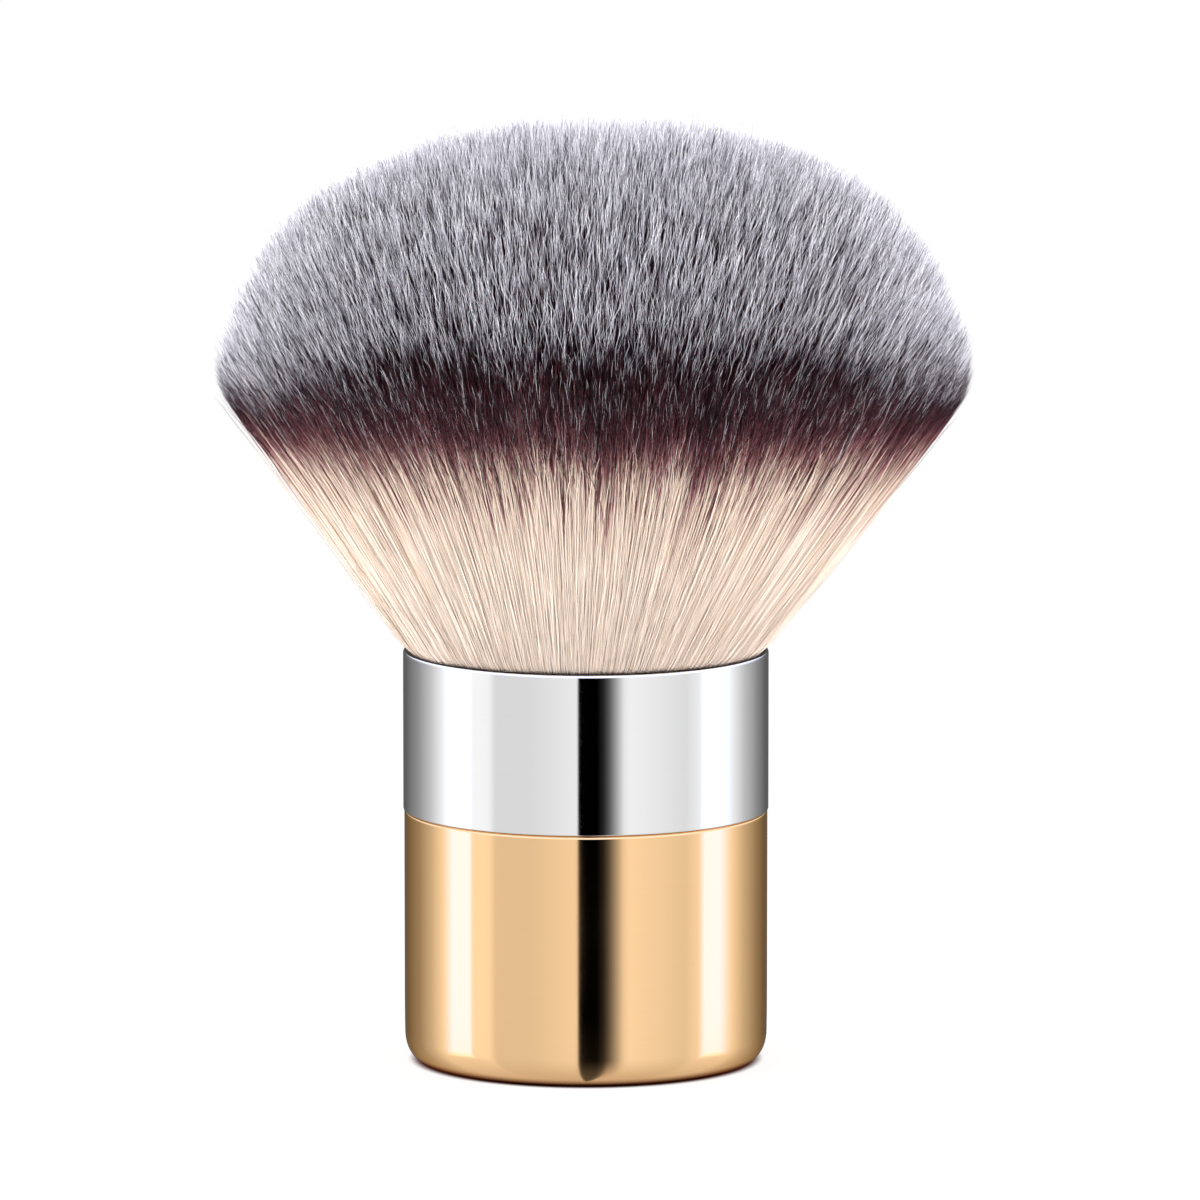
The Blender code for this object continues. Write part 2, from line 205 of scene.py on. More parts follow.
def cameraSees(tree, path):
    # 1 for what the camera sees, straight or through something clear
    return addNode(
        tree, "ShaderNodeMath", {"operation": "MAXIMUM"},
        i0=path["Is Camera Ray"], i1=path["Is Transmission Ray"]).outputs[0]


def buildWorld(spec):
    world = bpy.data.worlds.new("studio")
    bpy.context.scene.world = world
    world.use_nodes = True
    tree = world.node_tree
    tree.nodes.clear()
    direction = addNode(tree, "ShaderNodeTexCoord").outputs["Generated"]
    axes = addNode(tree, "ShaderNodeSeparateXYZ", None, Vector=direction).outputs
    path = addNode(tree, "ShaderNodeLightPath").outputs
    mirrored = addNode(
        tree, "ShaderNodeBackground", {"Strength": 1.0}, Color=mirroredLook(tree, spec, axes))
    behind = addNode(
        tree, "ShaderNodeMapRange",
        {"interpolation_type": "SMOOTHSTEP", "From Min": spec["fillFrom"], "From Max": spec["fillTo"],
         "To Min": spec["frontFill"], "To Max": spec["backFill"]}, Value=axes["Y"])
    fill = addNode(tree, "ShaderNodeBackground", {"Color": (1, 1, 1, 1)}, Strength=behind.outputs[0])
    backdrop = addNode(tree, "ShaderNodeBackground", {"Color": (1, 1, 1, 1), "Strength": 1.0})
    lit = addNode(
        tree, "ShaderNodeMixShader", None,
        Fac=path["Is Glossy Ray"], i1=fill.outputs[0], i2=mirrored.outputs[0])
    seen = addNode(
        tree, "ShaderNodeMixShader", None,
        Fac=cameraSees(tree, path), i1=lit.outputs[0], i2=backdrop.outputs[0])
    addNode(tree, "ShaderNodeOutputWorld", None, Surface=seen.outputs[0])


# place, size and watts of each, all aimed at the middle of the brush
softBoxes = {
    "colour": (0.95, 0.98, 1.0), "aim": (0.0, 0.0, 0.05),
    "softBoxLeft": ((-0.85, -0.15, 0.35), (0.5, 0.8), 11.5),
    "softBoxRight": ((0.85, -0.15, 0.35), (0.5, 0.8), 11.0),
    "softBoxTop": ((0.0, -0.10, 0.85), (0.6, 0.5), 7.2),
}


def addSoftBox(name, spec):
    place, size, power = spec[name]
    data = bpy.data.lights.new(name, "AREA")
    data.shape = "RECTANGLE"
    data.size, data.size_y = size
    data.energy = power
    data.color = spec["colour"]
    obj = placeObject(name, data)
    obj.location = place
    obj.rotation_euler = (Vector(spec["aim"]) - Vector(place)).to_track_quat("-Z", "Y").to_euler()
    obj.visible_glossy = False    # the metal mirrors the walls above instead


paper = {
    "colour": "#F0EFEF", "radius": 3.0, "drop": 0.05 * mm, "roughness": 0.9, "sides": 96,
    # how much pure white the camera sees in it, by distance in metres
    "glow": [(0.0, 0.80), (0.018, 0.80), (0.024, 0.88), (0.045, 0.90), (0.12, 1.0)],
    # a painted contact shadow: the dark line where the foot meets it, on a sheet of its own just over it
    "contactShadowColour": "#64392F", "contactShadowFrom": 16.5 * mm, "contactShadowTo": 17.8 * mm, "contactShadowDrop": 0.02 * mm,
}


def mattPaper(name, hexColour):
    # matt, without shine, and how far each place on it is from the brush's axis
    made, tree, shader = newMaterial(name)
    shader.inputs["Base Color"].default_value = srgb(hexColour)
    shader.inputs["Roughness"].default_value = paper["roughness"]
    shader.inputs["Specular IOR Level"].default_value = 0.0
    place = addNode(tree, "ShaderNodeTexCoord").outputs["Object"]
    reach = addNode(tree, "ShaderNodeVectorMath", {"operation": "LENGTH"}, i0=place).outputs["Value"]
    return made, tree, shader, reach


def paperSweep(spec):
    # white paper: plain close in, where the soft shadow lies, and pure white further out
    made, tree, shader, reach = mattPaper("paperSweep", spec["colour"])
    keep = addRamp(tree, reach, [(place, (level, level, level, 1)) for place, level in spec["glow"]])
    path = addNode(tree, "ShaderNodeLightPath").outputs
    amount = addNode(tree, "ShaderNodeMath", {"operation": "MULTIPLY"}, i0=keep, i1=cameraSees(tree, path))
    glow = addNode(tree, "ShaderNodeEmission", {"Color": (1, 1, 1, 1), "Strength": 1.0})
    both = addNode(
        tree, "ShaderNodeMixShader", None, Fac=amount.outputs[0], i1=shader.outputs[0], i2=glow.outputs[0])
    tree.links.new(both.outputs[0], tree.nodes["Material Output"].inputs["Surface"])
    return made


def paintedContactShadow(spec):
    # a painted contact shadow: the dark line by the foot, gone within a millimetre or so
    made, tree, shader, reach = mattPaper("paintedContactShadow", spec["contactShadowColour"])
    alpha = addNode(
        tree, "ShaderNodeMapRange",
        {"interpolation_type": "SMOOTHSTEP", "From Min": spec["contactShadowFrom"], "From Max": spec["contactShadowTo"],
         "To Min": 1.0, "To Max": 0.0}, Value=reach)
    tree.links.new(alpha.outputs[0], shader.inputs["Alpha"])
    return made


def buildFloor(spec):
    # the small sheet of painted shadow under the brush is mirrored in its foot, the wide one isn't
    floors = (
        ("studioFloor", spec["radius"], spec["drop"], False, paperSweep(spec)),
        ("contactShadowSheet", spec["contactShadowTo"], spec["contactShadowDrop"], True, paintedContactShadow(spec)))
    sides = spec["sides"]
    turns = np.linspace(0, 2 * math.pi, sides, endpoint=False)
    for name, radius, drop, mirrored, material in floors:
        mesh = bpy.data.meshes.new(name)
        rim = [(radius * math.cos(t), radius * math.sin(t), 0) for t in turns]
        mesh.from_pydata(rim, [], [tuple(range(sides))])
        mesh.materials.append(material)
        obj = placeObject(name, mesh)
        obj.location.z = -drop
        obj.visible_glossy = mirrored


buildWorld(studio)
for boxName in ("softBoxLeft", "softBoxRight", "softBoxTop"):
    addSoftBox(boxName, softBoxes)
buildFloor(paper)
print("studio built")


# Turned metal shells

def arc(centreR, centreZ, radius, start, end, steps):
    turns = [math.radians(start + (end - start) * i / steps) for i in range(steps + 1)]
    return [(centreR + radius * math.cos(t), centreZ + radius * math.sin(t)) for t in turns]


def lengthAlong(profile):
    # how far round its closed outline each point lies, as a share, and 1 back at the start
    points = np.array(profile)
    steps = np.linalg.norm(np.diff(points, axis=0, append=points[:1]), axis=1)
    return np.concatenate([[0], np.cumsum(steps)]) / steps.sum()


def turnShell(name, profile, segments=256, sharpDegrees=40):
    # spins a closed (radius, height) outline, with a map of angle by length along the outline
    points = np.array(profile)
    count = len(points)
    angles = np.linspace(0, 2 * math.pi, segments, endpoint=False)
    ring = np.stack([np.cos(angles), np.sin(angles)], axis=1)
    heights = np.broadcast_to(points[:, None, 1:], (count, segments, 1))
    verts = np.concatenate([points[:, None, :1] * ring[None], heights], axis=2)
    along = lengthAlong(profile)
    faces, uvs = [], []
    for i in range(count):
        after = (i + 1) % count
        low, high = along[i], along[i + 1]
        for j in range(segments):
            k = (j + 1) % segments
            faces.append((i * segments + j, i * segments + k, after * segments + k, after * segments + j))
            left, right = j / segments, (j + 1) / segments
            uvs += [(left, low), (right, low), (right, high), (left, high)]
    mesh = bpy.data.meshes.new(name)
    mesh.from_pydata(verts.reshape(-1, 3).tolist(), [], faces)
    mesh.uv_layers.new(name="OFBake").data.foreach_set("uv", np.array(uvs).ravel())
    mesh.shade_smooth()
    mesh.set_sharp_from_angle(angle=math.radians(sharpDegrees))
    return placeObject(name, mesh)


# grit is how many grains there are in a metre: its lines are about 0.1 mm apart and drawn out round the tube
buffing = {
    "grit": (60, 60, 9000), "smudge": 90.0, "darker": 0.97, "smoother": 0.8, "rougher": 1.3,
    # the bore's near-black colour is painted shade
    "depth": 0.01 * mm, "strength": 0.02, "boreShadeColour": "#2B2622", "boreRoughness": 0.5,
}


def polishedAluminium(name, hexColour, roughness, edgeColour, boreFrom):
    # drawn tube, buffed on a lathe: mirror bright, with faint buffing lines that run round it
    made, tree, shader = newMaterial(name)
    shader.inputs["Metallic"].default_value = 1.0
    shader.inputs["Specular Tint"].default_value = srgb(edgeColour)
    place = addNode(tree, "ShaderNodeTexCoord").outputs["Object"]
    lines = addNode(tree, "ShaderNodeMapping", {"Scale": buffing["grit"]}, Vector=place)
    grit = addNode(tree, "ShaderNodeTexNoise", {"Scale": 1.0, "Detail": 3.0}, Vector=lines.outputs[0])
    smudge = addNode(tree, "ShaderNodeTexNoise", {"Scale": buffing["smudge"], "Detail": 4.0}, Vector=place)
    base = srgb(hexColour)
    darker = (*[c * buffing["darker"] for c in base[:3]], 1.0)
    tone = mixColours(tree, grit.outputs["Fac"], darker, base)
    rough = addNode(
        tree, "ShaderNodeMapRange",
        {"From Min": 0.3, "From Max": 0.7,
         "To Min": roughness * buffing["smoother"], "To Max": roughness * buffing["rougher"]},
        Value=smudge.outputs["Fac"])
    # the bore, and the inner side of the ferrule's lip, are left unpolished and painted near-black: painted
    # shade, for the shadowed slot between the lip and the filaments
    along = addNode(tree, "ShaderNodeUVMap", {"uv_map": "OFBake"}).outputs["UV"]
    height = addNode(tree, "ShaderNodeSeparateXYZ", None, Vector=along).outputs["Y"]
    inside = addNode(tree, "ShaderNodeMath", {"operation": "GREATER_THAN", 1: boreFrom}, i0=height)
    shadedBore = mixColours(tree, inside.outputs[0], tone, srgb(buffing["boreShadeColour"]))
    tree.links.new(shadedBore, shader.inputs["Base Color"])
    matt = addNode(
        tree, "ShaderNodeMix", {"data_type": "FLOAT", 3: buffing["boreRoughness"]},
        Factor=inside.outputs[0], i2=rough.outputs[0])
    tree.links.new(matt.outputs[0], shader.inputs["Roughness"])
    addBump(tree, shader, grit.outputs["Fac"], buffing["strength"], buffing["depth"])
    return made


support = 0.03 * mm     # loops that keep the straight walls' shading flat next to a rounding

ferrule = {
    "wall": 0.6 * mm, "edge": 0.12 * mm, "edgeSteps": 6,
    "lipTall": 0.42 * mm, "lipSteps": 36,
    # the lip's steps past these, and the bore, are painted near-black as shade
    "polishedSteps": 10,    # how many of the lip's steps are polished, from the outside in
    "closer": 0.27 * mm,    # how far its wall reaches down into the CAD gap over the cup
    "colour": "#F1F1F2", "edgeColour": "#E4E4E6", "roughness": 0.05,
}


def buildFerrule(spec):
    outer = ferruleBox[1][0]
    low, high = ferruleBox[0][2] - spec["closer"], ferruleBox[1][2]
    bore = outer - spec["wall"]
    lip = spec["wall"] / 2
    lipFrom = high - spec["lipTall"]
    profile = [(bore, low)]
    profile += arc(outer - spec["edge"], low + spec["edge"], spec["edge"], -90, 0, spec["edgeSteps"])
    profile += [(outer, low + spec["edge"] + support), (outer, lipFrom - support)]
    boreStart = len(profile) + spec["polishedSteps"]
    # a half round, drawn out in height
    profile += [(r, lipFrom + (z - high) * spec["lipTall"] / lip)
                for r, z in arc(bore + lip, high, lip, 0, 180, spec["lipSteps"])]
    profile += [(bore, lipFrom - support)]
    obj = turnShell("ferruleShell", profile)
    boreFrom = float(lengthAlong(profile)[boreStart])
    obj.data.materials.append(polishedAluminium(
        "polishedAluminium", spec["colour"], spec["roughness"], spec["edgeColour"], boreFrom))
    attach(obj, body)
    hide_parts("ferrule")


cup = {
    "wall": 0.8 * mm, "floor": 1.0 * mm, "inner": 1.0 * mm, "innerSteps": 6,
    "rim": 0.36 * mm, "rimSteps": 10,
    # the foot's rounding is a squarer curve than a quarter ellipse, whose squareness would be 2
    "corner": 2.0 * mm, "cornerTall": 2.9 * mm, "squareness": 2.25, "cornerSteps": 40,
    # the wall leans in a little towards its foot before it rounds under, so mirrored bands fade out there
    "ease": 0.1 * mm, "easeTall": 7.0 * mm, "easeSteps": 14,
    "pinHole": 0.02 * mm,   # in place of poles, far too small to see
    "colour": "#FFD4A0", "edgeColour": "#FFE2B8", "roughness": 0.07,
}


def buildCup(spec):
    outer = cupBox[1][0]
    top = cupBox[1][2]
    bore = outer - spec["wall"]
    corner, inner, middle = spec["corner"], spec["inner"], spec["pinHole"]
    tall, power = spec["cornerTall"], 2 / spec["squareness"]
    ease, easeTall, easeSteps = spec["ease"], spec["easeTall"], spec["easeSteps"]
    profile = [(middle, 0.0), (outer - corner - ease - support, 0.0)]
    turns = [math.radians(-90 + 90 * i / spec["cornerSteps"]) for i in range(1, spec["cornerSteps"])]
    lower = [(corner * (1 - math.cos(t) ** power), tall * (1 - abs(math.sin(t)) ** power)) for t in turns]
    lower += [(0.0, tall + (easeTall - tall) * i / easeSteps) for i in range(easeSteps + 1)]
    profile += [(outer - inset - ease * (1 - z / easeTall) ** 2, z) for inset, z in lower]
    profile.append((outer, top - spec["rim"] - support))
    profile += arc(outer - spec["rim"], top - spec["rim"], spec["rim"], 0, 90, spec["rimSteps"])
    boreStart = len(profile)
    profile += [(bore, top)]
    profile += arc(bore - inner, spec["floor"] + inner, inner, 0, -90, spec["innerSteps"])
    profile += [(middle, spec["floor"])]
    obj = turnShell("cupShell", profile)
    boreFrom = float(lengthAlong(profile)[boreStart])
    obj.data.materials.append(polishedAluminium(
        "goldAnodisedAluminium", spec["colour"], spec["roughness"], spec["edgeColour"], boreFrom))
    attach(obj, body)
    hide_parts("base_cup")


buildFerrule(ferrule)
buildCup(cup)
print("metal shells turned")


# Tuft of tapered filaments
golden = math.pi * (3 - math.sqrt(5))

# a share is a place in the bundle, from 0 in its middle to 1 at its skin, at any height
tuft = {
    "seed": 11, "count": 107000, "spotJitter": 0.35,
    # the middle, whose long filaments fan out the most, is packed closer
    "extraCore": 15000, "coreShare": 0.5, "coreCrowding": 0.7,
    # and so is the outside layer, which hides the ends of the ones within
    "extraSkin": 24000, "skinShare": 0.92,
    # neighbouring filaments cling together in small clumps
    "clumps": 14000, "clumpJitter": 0.45,
    "rootZ": 31.9 * mm, "rootRadius": 16.35 * mm, "throatDrop": 0.3 * mm, "throatRadius": 17.25 * mm,
    "overLip": 0.9 * mm, "coneRadius": 18.5 * mm,
    "headRadius": 37.2 * mm, "domeHeight": 24.8 * mm, "shoulderDrop": 2.7 * mm,
    # half-way out the dome is a little fuller than an ellipse
    "fuller": 0.85 * mm, "fullerShare": 0.54, "fullerWidth": 0.19,
    # sideways drift of the bundle by height above the throat, both in mm
    "lean": [(0, 0), (12, 0.7), (20, 0.95), (30, 0.75), (42, 1.0), (54, 1.7)],
    # the map's length up a filament, and its columns of tones
    "mapLength": 64.0 * mm, "columns": 64,
}
rimZ = ferruleBox[1][2]
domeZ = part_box("bristles_core")[1][2] - tuft["domeHeight"]
throatZ = rimZ - tuft["throatDrop"]
coneZ = rimZ + tuft["overLip"]
shoulderZ = domeZ - tuft["shoulderDrop"]
shoulderRadius = tuft["headRadius"] * math.sqrt(1 - (tuft["shoulderDrop"] / tuft["domeHeight"]) ** 2)
flareSlope = (shoulderRadius - tuft["coneRadius"]) / (shoulderZ - coneZ)


def spreadAt(z):
    # radius of the whole bundle at a height: it leans on the lip, then flares as a cone
    cone = tuft["coneRadius"] + np.maximum(0.0, z - coneZ) * flareSlope
    held = np.interp(
        z, [tuft["rootZ"], throatZ, coneZ], [tuft["rootRadius"], tuft["throatRadius"], tuft["coneRadius"]])
    return np.where(z < coneZ, held, cone)


def leanAt(z):
    # the bundle isn't quite upright
    heights, drifts = zip(*tuft["lean"])
    return np.interp((z - throatZ) / mm, heights, drifts) * mm


def tipHeights(share):
    # where each filament's straight line meets the ellipse of the dome
    a, b, start, m = tuft["headRadius"], tuft["domeHeight"], tuft["coneRadius"], flareSlope
    drop = coneZ - domeZ
    square = (share * m / a) ** 2 + 1 / b ** 2
    linear = 2 * share ** 2 * start * m / a ** 2 + 2 * drop / b ** 2
    constant = (share * start / a) ** 2 + (drop / b) ** 2 - 1
    return coneZ + (-linear + np.sqrt(np.maximum(linear ** 2 - 4 * square * constant, 0))) / (2 * square)


def slantOf(share):
    # length of a filament for each unit that it rises
    return np.hypot(1, share * flareSlope)


def eased(share):
    return share * share * (3 - 2 * share)


def rising(value, start, reach):
    return np.clip((value - start) / reach, 0, 1)


def hump(value, middle, width):
    return np.exp(-((value - middle) / width) ** 2)


def waves(bearing, terms):
    # sum of waves round the bundle: size, how many in a turn, phase
    return sum(size * np.sin(number * bearing + phase) for size, number, phase in terms)


def strandMesh(name, centres, radii, turns, columns, mapV):
    # three-sided strands from their ring centres; the last point of each is its tip
    count, rings = radii.shape
    angles = turns[:, None] + np.arange(3) * 2 * math.pi / 3
    around = np.stack([np.cos(angles), np.sin(angles), np.zeros_like(angles)], axis=2)
    corners = centres[:, :rings, None, :] + radii[:, :, None, None] * around[:, None]
    verts = np.concatenate([corners.reshape(count, rings * 3, 3), centres[:, rings:]], axis=1)
    faces = [(0, 2, 1)]
    for ring in range(rings - 1):
        for side in range(3):
            a, b = ring * 3 + side, ring * 3 + (side + 1) % 3
            faces += [(a, b, b + 3), (a, b + 3, a + 3)]
    top = (rings - 1) * 3
    faces += [(top + side, top + (side + 1) % 3, rings * 3) for side in range(3)]
    faces = np.array(faces)
    each = rings * 3 + 1
    # the map: across is the filament's tone, up is the way from its root to its tip
    across = np.append(np.tile([0.15, 0.5, 0.85], rings), 0.5)
    u = (columns[:, None] + across) / tuft["columns"]
    v = mapV[:, np.append(np.repeat(np.arange(rings), 3), rings)]
    maps = np.stack([u, v], axis=2)[:, faces]
    # the face at the root is level, so one of its corners goes lower to give it some area
    maps[:, 0, 1, 1] = np.maximum(maps[:, 0, 1, 1] - 0.01, 0.0)
    allFaces = faces[None] + (np.arange(count) * each)[:, None, None]
    mesh = bpy.data.meshes.new(name)
    mesh.from_pydata(verts.reshape(-1, 3), [], allFaces.reshape(-1, 3))
    mesh.uv_layers.new(name="OFBake").data.foreach_set("uv", maps.reshape(-1).astype(np.float32))
    mesh.shade_smooth()
    return placeObject(name, mesh)


filament = {
    "roughness": 0.5, "ior": 1.5, "shine": 0.3,
    # colours by distance from the tip in mm, of the darkest and the lightest; from about 30 mm on they grow
    # darker towards the root, painted shade by the ferrule's lip
    "dark": [
        (0.0, "#FAF6FB"), (0.7, "#DDD9E4"), (1.5, "#868190"), (2.1, "#64606F"), (2.8, "#1E1319"),
        (4.8, "#130A0F"), (7.0, "#3D1821"), (11.0, "#7C4348"), (14.6, "#E4CCBA"), (26.0, "#EBD6C4"),
        (34.0, "#DBC6B5"), (62.0, "#BFA99A")],
    "light": [
        (0.0, "#FFFDFF"), (2.7, "#F6F2FB"), (4.2, "#38252C"), (5.6, "#25131A"), (7.8, "#55262F"),
        (11.0, "#B0777A"), (13.8, "#EFDCCB"), (27.0, "#F2E3D5"), (35.0, "#E8D8CB"), (62.0, "#DBC8BB")],
    # the hue of each column lies between these, where 0.5 leaves it as it is
    "hueFrom": 0.491, "hueTo": 0.509,
}


def taperedFilament(spec):
    # PBT filament, dip dyed in bands and ground to a fine tip: cream, wine, near black, pale lavender, with
    # painted shade darkening it down by the root
    made, tree, shader = newMaterial("dipDyedPbtFilament")
    shader.inputs["Roughness"].default_value = spec["roughness"]
    shader.inputs["IOR"].default_value = spec["ior"]
    shader.inputs["Specular IOR Level"].default_value = spec["shine"]
    where = addNode(tree, "ShaderNodeUVMap", {"uv_map": "OFBake"}).outputs["UV"]
    parts = addNode(tree, "ShaderNodeSeparateXYZ", None, Vector=where).outputs
    fromTip = addNode(tree, "ShaderNodeMath", {"operation": "SUBTRACT", 0: 1.0}, i1=parts["Y"])
    length = tuft["mapLength"] / mm
    dark, light = [
        addRamp(tree, fromTip.outputs[0], [(place / length, colour) for place, colour in spec[kind]])
        for kind in ("dark", "light")]
    # tone of each filament runs across the map, in columns
    blend = mixColours(tree, parts["X"], dark, light)
    column = addNode(
        tree, "ShaderNodeMath", {"operation": "MULTIPLY", 1: float(tuft["columns"])}, i0=parts["X"])
    whole = addNode(tree, "ShaderNodeMath", {"operation": "FLOOR"}, i0=column.outputs[0])
    chance = addNode(tree, "ShaderNodeTexWhiteNoise", {"noise_dimensions": "1D"}, W=whole.outputs[0])
    shift = addNode(
        tree, "ShaderNodeMapRange", {"To Min": spec["hueFrom"], "To Max": spec["hueTo"]},
        Value=chance.outputs["Value"])
    hue = addNode(tree, "ShaderNodeHueSaturation", None, Hue=shift.outputs[0], Color=blend)
    tree.links.new(hue.outputs[0], shader.inputs["Base Color"])
    return made


# the close-packed inside of the bundle, that the loose ends stand out of
heart = {
    "share": 0.976, "depth": 10.5 * mm, "domeRows": 15, "sideRows": 7, "segments": 720,
    "roughness": 0.006, "least": 0.02 * mm,
    # the columns of the map that it takes, and how many columns paler it is below the dome: painted light,
    # that lifts the shade in the gaps between the filaments over it
    "columnFrom": 22, "columnTo": 34, "gapLightLift": 26, "columnEdge": 0.1,
}


def packedHeart(spec, material):
    shares = np.linspace(0, spec["share"], spec["domeRows"])
    tops = tipHeights(shares) - spec["depth"] / slantOf(shares)
    sides = np.linspace(tops[-1], coneZ, spec["sideRows"] + 1)[1:]
    heights = np.concatenate([tops, sides, [throatZ, tuft["rootZ"], tuft["rootZ"]]])
    kept = np.concatenate([shares, np.full(spec["sideRows"] + 2, spec["share"]), [0.0]])
    radii = np.maximum(kept * spreadAt(heights), spec["least"])
    fromTip = (tipHeights(kept) - heights) * slantOf(kept)
    segments, rows = spec["segments"], heights.size
    rng = np.random.default_rng(tuft["seed"] + 1)
    angles = np.linspace(0, 2 * math.pi, segments, endpoint=False)
    rough = 1 + rng.normal(0, spec["roughness"], segments)
    x = radii[:, None] * np.cos(angles) * rough + leanAt(heights)[:, None]
    y = radii[:, None] * np.sin(angles) * rough
    verts = np.stack([x, y, np.broadcast_to(heights[:, None], x.shape)], axis=2).reshape(-1, 3)
    column = rng.integers(spec["columnFrom"], spec["columnTo"], segments)
    mapV = np.clip(1 - fromTip / tuft["mapLength"], 0, 1)
    edge = spec["columnEdge"]
    faces, uvs = [], []
    for i in range(rows):
        after = (i + 1) % rows
        # below the dome it takes paler columns, painted light in the shaded gaps
        lift = spec["gapLightLift"] if i > shares.size else 0
        # each row gets at least a little height in the map
        top, low = mapV[i], min(mapV[after], mapV[i] - 0.01) if after else mapV[i] - 0.02
        for j in range(segments):
            k = (j + 1) % segments
            faces.append((i * segments + j, after * segments + j, after * segments + k, i * segments + k))
            left = (column[j] + lift + edge) / tuft["columns"]
            right = (column[j] + lift + 1 - edge) / tuft["columns"]
            uvs += [(left, top), (left, low), (right, low), (right, top)]
    mesh = bpy.data.meshes.new("tuftHeart")
    mesh.from_pydata(verts.tolist(), [], faces)
    mesh.uv_layers.new(name="OFBake").data.foreach_set("uv", np.clip(np.array(uvs), 0, 1).ravel())
    mesh.materials.append(material)
    obj = placeObject("tuftHeart", mesh)
    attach(obj, body)
    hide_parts("bristles_middle")


def sunflower(shares, jitter, rng):
    # evenly spread spots at these shares, each a little off its place
    turns = np.arange(shares.size) * golden
    spots = np.stack([shares * np.cos(turns), shares * np.sin(turns)], axis=1)
    return spots + rng.normal(0, jitter / math.sqrt(shares.size), spots.shape)


def placeFilaments(spec, rng):
    even = spec["count"] - spec["extraSkin"] - spec["extraCore"]
    spot = sunflower(np.concatenate([
        np.sqrt((np.arange(even) + 0.5) / even),
        spec["coreShare"] * np.linspace(0, 1, spec["extraCore"]) ** spec["coreCrowding"],
        np.sqrt(np.linspace(spec["skinShare"] ** 2, 1, spec["extraSkin"]))]), spec["spotJitter"], rng)
    reach = np.linalg.norm(spot, axis=1)
    share = np.minimum(reach, 1.0)
    spot *= (share / np.maximum(reach, 1e-9))[:, None]
    order = np.argsort(share)
    return spot[order], share[order]


def joinClumps(spec, rng, spot):
    # the clumps' middles, and which clump each filament belongs to
    even = np.sqrt((np.arange(spec["clumps"]) + 0.5) / spec["clumps"])
    clumps = sunflower(even, spec["clumpJitter"], rng)
    tree = kdtree.KDTree(len(clumps))
    for i, (x, y) in enumerate(clumps):
        tree.insert((x, y, 0), i)
    tree.balance()
    return clumps, np.array([tree.find((x, y, 0))[1] for x, y in spot])


def perClump(rng, member):
    return rng.normal(0, 1, tuft["clumps"])[member]


# how far below the dome the ends are, in mm
trim = {
    "spread": 0.38, "innerSpread": 0.10, "clumpSpread": 0.07, "proud": 0.50, "innerProud": 0.10,
    # many were cut shorter, most of them half-way out, and lost some of their pale end with it
    "lostPart": 0.38, "lostMore": 0.22, "lostShare": 0.44, "lostWidth": 0.11,
    "lostFrom": 1.2, "lostTo": 5.0, "lostDepth": 0.35,
    # near the skin some end well below the rest
    "deepPart": 0.20, "deepLength": 1.1, "highest": -1.3, "lowest": 6.0,
}


def trimEnds(spec, rng, share, clumpLength):
    count, inner = share.size, 1 - share ** 2
    cut = np.abs(rng.normal(0, 1, count)) * (spec["spread"] + spec["innerSpread"] * inner)
    cut = cut + spec["clumpSpread"] * clumpLength
    cut -= spec["proud"] + spec["innerProud"] * inner
    lostPart = spec["lostPart"] + spec["lostMore"] * hump(share, spec["lostShare"], spec["lostWidth"])
    lost = np.where(rng.random(count) < lostPart, rng.uniform(spec["lostFrom"], spec["lostTo"], count), 0)
    cut += spec["lostDepth"] * lost
    deep = np.where(rng.random(count) < spec["deepPart"], rng.exponential(spec["deepLength"], count), 0)
    return cut + deep * share ** 3, lost


# a shift is how much of its pale end a filament lacks, in mm
dye = {
    "tone": 0.53, "toneSpread": 0.27, "clumpTone": 0.20, "mostTone": 0.999,
    "spread": 0.7, "clumpSpread": 0.5,
    "wander": [(0.5, 7, 1), (-0.45, 19, 0), (0.35, 43, 2)],
    "tufty": [(1, 97, 0), (1, 151, 1), (1, 61, 2)],
    # the dip dye was taken level: the leaning outer filaments carry little or none of its pale end; the
    # shifts that go with facing add painted shade, darker on the front and back of the dome
    "edgeShare": 0.865, "edgeFacingShade": 0.110, "edgeRight": 0.02, "edgeReach": 0.13,
    "edgeTufty": 0.012, "edgeClump": 0.020, "edgeShift": 4.0, "edgePower": 1.5,
    "rimShare": 0.93, "rimReach": 0.07, "rimShift": 0.6,
    "earlyShare": 0.55, "earlyReach": 0.25, "earlyShadeShift": 0.5,
    "steepShare": 0.960, "steepReach": 0.026, "steepShadeShift": 2.4,
    "raggedWander": 0.005, "raggedTufty": 0.005, "raggedClump": 0.007,
    "middleShare": 0.26, "middleWidth": 0.17, "middleShift": 0.8,
    # only a few single filaments keep their pale end there
    "palePart": 0.080, "lessAtRim": 0.050, "paleShift": 0.15,
    "singleFrom": 0.5, "singleLess": 1.5, "singleTone": 0.98,
    # and its lower edge wanders, with single filaments dyed further down, in mm
    "further": 0.2, "furtherRight": 0.75, "lessAtSides": 0.45, "least": -1.5,
    "runPart": 0.30, "runFrom": 1.0, "runTo": 9.0, "wineFrom": 5, "wineLength": 4,
}


